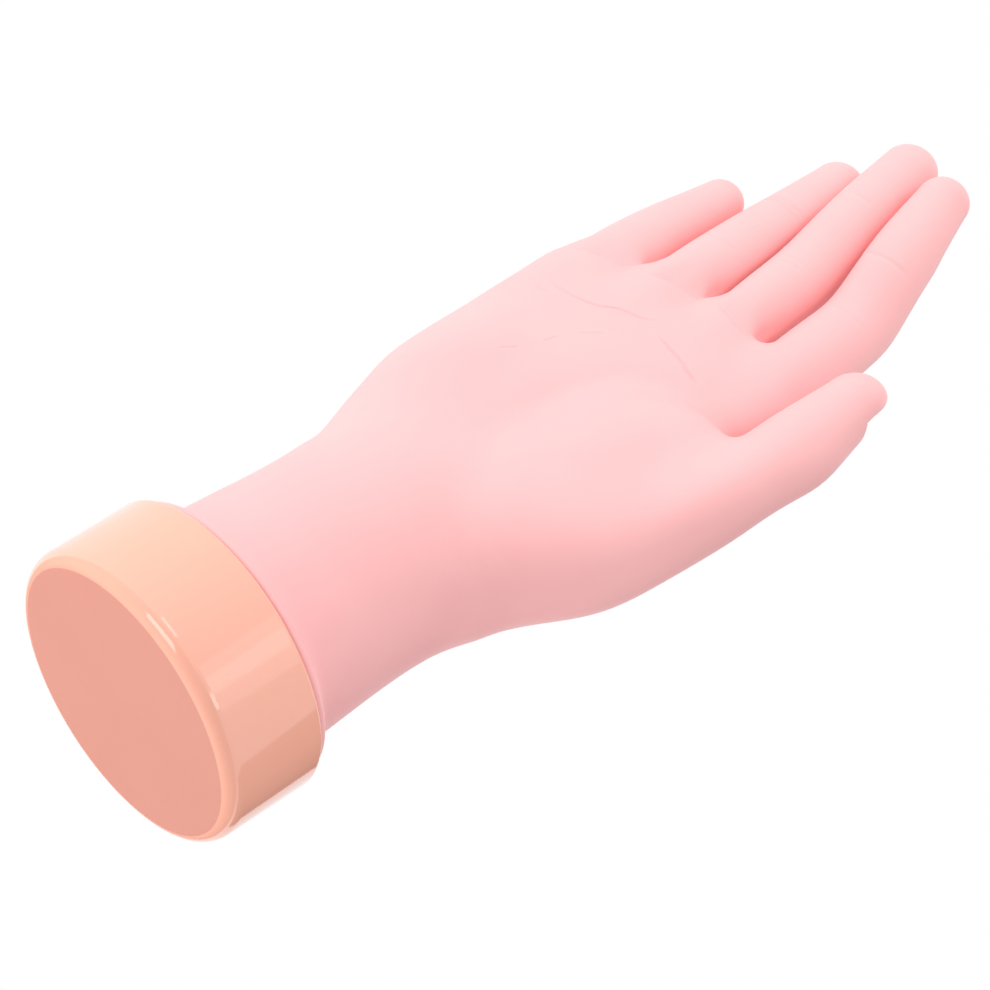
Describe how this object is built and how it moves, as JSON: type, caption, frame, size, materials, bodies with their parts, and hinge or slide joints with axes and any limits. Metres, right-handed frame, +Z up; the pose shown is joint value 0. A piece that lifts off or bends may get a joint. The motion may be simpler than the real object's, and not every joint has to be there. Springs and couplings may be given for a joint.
{
  "type": "nail practice hand",
  "caption": "Soft life-size right hand on a round gloss base cap, with wires in its fingers that hold the pose they are bent to, for practising nail work.",
  "frame": {"origin": "centre of the flat underside of the base cap, which the hand stands on", "axes": "+Z up the hand towards the fingertips, +X towards the thumb, -Y out of the palm"},
  "size_m": [0.0954, 0.067, 0.2394],
  "materials": {
    "cap_gloss": "peach moulded plastic, polished wall, satin underside",
    "soft_skin": "pink soft skin, satin, slightly translucent, fine moulded creases",
    "plug_plastic": "natural moulded plastic",
    "frame_plastic": "natural moulded plastic",
    "wire_metal": "annealed zinc-coated wire",
    "screw_steel": "zinc-plated steel"
  },
  "bodies": {
    "root": {"base_cap": "cap_gloss", "wrist_plug": "plug_plastic", "base_screw": "screw_steel", "palm_frame": "frame_plastic", "wire_clamp": "frame_plastic", "clamp_screw_1": "screw_steel", "clamp_screw_2": "screw_steel", "palm_skin": "soft_skin", "index_wire_root": "wire_metal", "index_root_knuckle": "soft_skin", "middle_wire_root": "wire_metal", "middle_root_knuckle": "soft_skin", "ring_wire_root": "wire_metal", "ring_root_knuckle": "soft_skin", "little_wire_root": "wire_metal", "little_root_knuckle": "soft_skin", "thumb_wire_root": "wire_metal", "thumb_root_knuckle": "soft_skin"},
    "index_lower": {"index_lower_skin": "soft_skin", "index_wire_lower": "wire_metal", "index_middle_knuckle": "soft_skin"},
    "index_middle": {"index_middle_skin": "soft_skin", "index_wire_middle": "wire_metal", "index_tip_knuckle": "soft_skin"},
    "index_tip": {"index_tip_skin": "soft_skin", "index_wire_tip": "wire_metal"},
    "middle_lower": {"middle_lower_skin": "soft_skin", "middle_wire_lower": "wire_metal", "middle_middle_knuckle": "soft_skin"},
    "middle_middle": {"middle_middle_skin": "soft_skin", "middle_wire_middle": "wire_metal", "middle_tip_knuckle": "soft_skin"},
    "middle_tip": {"middle_tip_skin": "soft_skin", "middle_wire_tip": "wire_metal"},
    "ring_lower": {"ring_lower_skin": "soft_skin", "ring_wire_lower": "wire_metal", "ring_middle_knuckle": "soft_skin"},
    "ring_middle": {"ring_middle_skin": "soft_skin", "ring_wire_middle": "wire_metal", "ring_tip_knuckle": "soft_skin"},
    "ring_tip": {"ring_tip_skin": "soft_skin", "ring_wire_tip": "wire_metal"},
    "little_lower": {"little_lower_skin": "soft_skin", "little_wire_lower": "wire_metal", "little_middle_knuckle": "soft_skin"},
    "little_middle": {"little_middle_skin": "soft_skin", "little_wire_middle": "wire_metal", "little_tip_knuckle": "soft_skin"},
    "little_tip": {"little_tip_skin": "soft_skin", "little_wire_tip": "wire_metal"},
    "thumb_lower": {"thumb_lower_skin": "soft_skin", "thumb_wire_lower": "wire_metal", "thumb_tip_knuckle": "soft_skin"},
    "thumb_tip": {"thumb_tip_skin": "soft_skin", "thumb_wire_tip": "wire_metal"}
  },
  "joints": [
    {"name": "index_root_bend", "type": "hinge", "parent": "root", "child": "index_lower", "pos_m": [0.02303, 0.00073, 0.17753], "axis": [0.9917, -0.0052, 0.1286], "range_deg": [-22, 47], "deforming": ["index_root_knuckle"]},
    {"name": "index_middle_bend", "type": "hinge", "parent": "index_lower", "child": "index_middle", "pos_m": [0.02084, -0.00022, 0.19365], "axis": [0.9839, -0.04, 0.1743], "range_deg": [-30, 44], "deforming": ["index_middle_knuckle"]},
    {"name": "index_tip_bend", "type": "hinge", "parent": "index_middle", "child": "index_tip", "pos_m": [0.01631, -0.0079, 0.21253], "axis": [0.979, -0.0612, 0.1942], "range_deg": [-5, 55], "deforming": ["index_tip_knuckle"]},
    {"name": "middle_root_bend", "type": "hinge", "parent": "root", "child": "middle_lower", "pos_m": [0.00334, -0.00064, 0.17957], "axis": [0.9966, -0.0029, 0.0818], "range_deg": [-22, 48], "deforming": ["middle_root_knuckle"]},
    {"name": "middle_middle_bend", "type": "hinge", "parent": "middle_lower", "child": "middle_middle", "pos_m": [0.00194, -0.00139, 0.19649], "axis": [0.9958, -0.012, 0.0907], "range_deg": [-21, 54], "deforming": ["middle_middle_knuckle"]},
    {"name": "middle_tip_bend", "type": "hinge", "parent": "middle_middle", "child": "middle_tip", "pos_m": [-0.00023, -0.00614, 0.21786], "axis": [0.9964, -0.017, 0.0835], "range_deg": [-12, 48], "deforming": ["middle_tip_knuckle"]},
    {"name": "ring_root_bend", "type": "hinge", "parent": "root", "child": "ring_lower", "pos_m": [-0.01426, -0.00167, 0.17841], "axis": [1, 0.0003, 0.0087], "range_deg": [-18, 52], "deforming": ["ring_root_knuckle"]},
    {"name": "ring_middle_bend", "type": "hinge", "parent": "ring_lower", "child": "ring_middle", "pos_m": [-0.0144, -0.00117, 0.19299], "axis": [0.9998, 0.0005, 0.0175], "range_deg": [-11, 64], "deforming": ["ring_middle_knuckle"]},
    {"name": "ring_tip_bend", "type": "hinge", "parent": "ring_middle", "child": "ring_tip", "pos_m": [-0.0149, -0.00088, 0.21218], "axis": [0.9994, -0.0006, 0.0349], "range_deg": [-19, 41], "deforming": ["ring_tip_knuckle"]},
    {"name": "little_root_bend", "type": "hinge", "parent": "root", "child": "little_lower", "pos_m": [-0.0311, -0.0015, 0.17124], "axis": [0.9997, -0.0005, -0.0227], "range_deg": [-18, 43], "deforming": ["little_root_knuckle"]},
    {"name": "little_middle_bend", "type": "hinge", "parent": "little_lower", "child": "little_middle", "pos_m": [-0.03085, -0.00119, 0.18169], "axis": [0.9996, -0.0017, -0.0288], "range_deg": [-7, 68], "deforming": ["little_middle_knuckle"]},
    {"name": "little_tip_bend", "type": "hinge", "parent": "little_middle", "child": "little_tip", "pos_m": [-0.03052, -0.00047, 0.19226], "axis": [0.9995, -0.0013, -0.0314], "range_deg": [-19, 41], "deforming": ["little_tip_knuckle"]},
    {"name": "thumb_root_bend", "type": "hinge", "parent": "root", "child": "thumb_lower", "pos_m": [0.04609, -0.00811, 0.13812], "axis": [0.5853, -0.794, -0.1644], "range_deg": [-15, 38], "deforming": ["thumb_root_knuckle"]},
    {"name": "thumb_tip_bend", "type": "hinge", "parent": "thumb_lower", "child": "thumb_tip", "pos_m": [0.04747, -0.00937, 0.15019], "axis": [0.6034, -0.7893, -0.1133], "range_deg": [-20, 38], "deforming": ["thumb_tip_knuckle"]}
  ]
}
